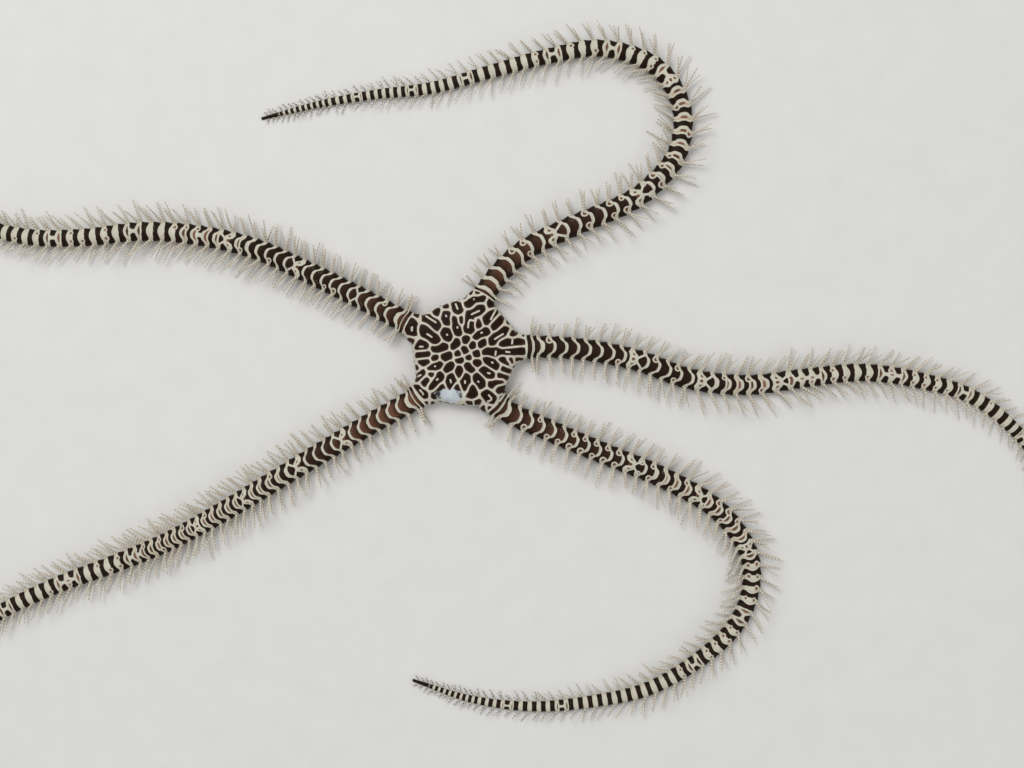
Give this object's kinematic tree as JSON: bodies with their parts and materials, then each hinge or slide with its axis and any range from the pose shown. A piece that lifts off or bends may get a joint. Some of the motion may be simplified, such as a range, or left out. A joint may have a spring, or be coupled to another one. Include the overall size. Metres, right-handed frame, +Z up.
{
  "type": "brittle star model",
  "caption": "Life-size brittle star: five-sided disc with a net pattern and long bent arms, banded and fringed with ringed spines.",
  "frame": {"origin": "middle of the closed mouth, on the flat underside that rests on the floor", "axes": "+Z up from the underside to the crown of the disc; +X along the floor, the way in which the arms reach furthest, and the right of the picture"},
  "size_m": [0.2408, 0.1662, 0.0053],
  "materials": {
    "disc_skin": "satin, dark brown plates in a cream net",
    "arm_skin": "satin, dark brown bands and cream crescents",
    "spines": "satin, translucent grey-brown with pale rings"
  },
  "bodies": {
    "root": {"disc": "disc_skin", "arm1_length1": "arm_skin", "arm1_length2": "arm_skin", "arm1_length3": "arm_skin", "arm1_length4": "arm_skin", "arm1_length5": "arm_skin", "arm1_length6": "arm_skin", "arm2_length1": "arm_skin", "arm2_length2": "arm_skin", "arm2_length3": "arm_skin", "arm2_length4": "arm_skin", "arm2_length5": "arm_skin", "arm2_length6": "arm_skin", "arm3_length1": "arm_skin", "arm3_length2": "arm_skin", "arm3_length3": "arm_skin", "arm3_length4": "arm_skin", "arm3_length5": "arm_skin", "arm3_length6": "arm_skin", "arm4_length1": "arm_skin", "arm4_length2": "arm_skin", "arm4_length3": "arm_skin", "arm4_length4": "arm_skin", "arm4_length5": "arm_skin", "arm4_length6": "arm_skin", "arm5_length1": "arm_skin", "arm5_length2": "arm_skin", "arm5_length3": "arm_skin", "arm5_length4": "arm_skin", "arm5_length5": "arm_skin", "arm5_length6": "arm_skin"}
  },
  "joints": []
}
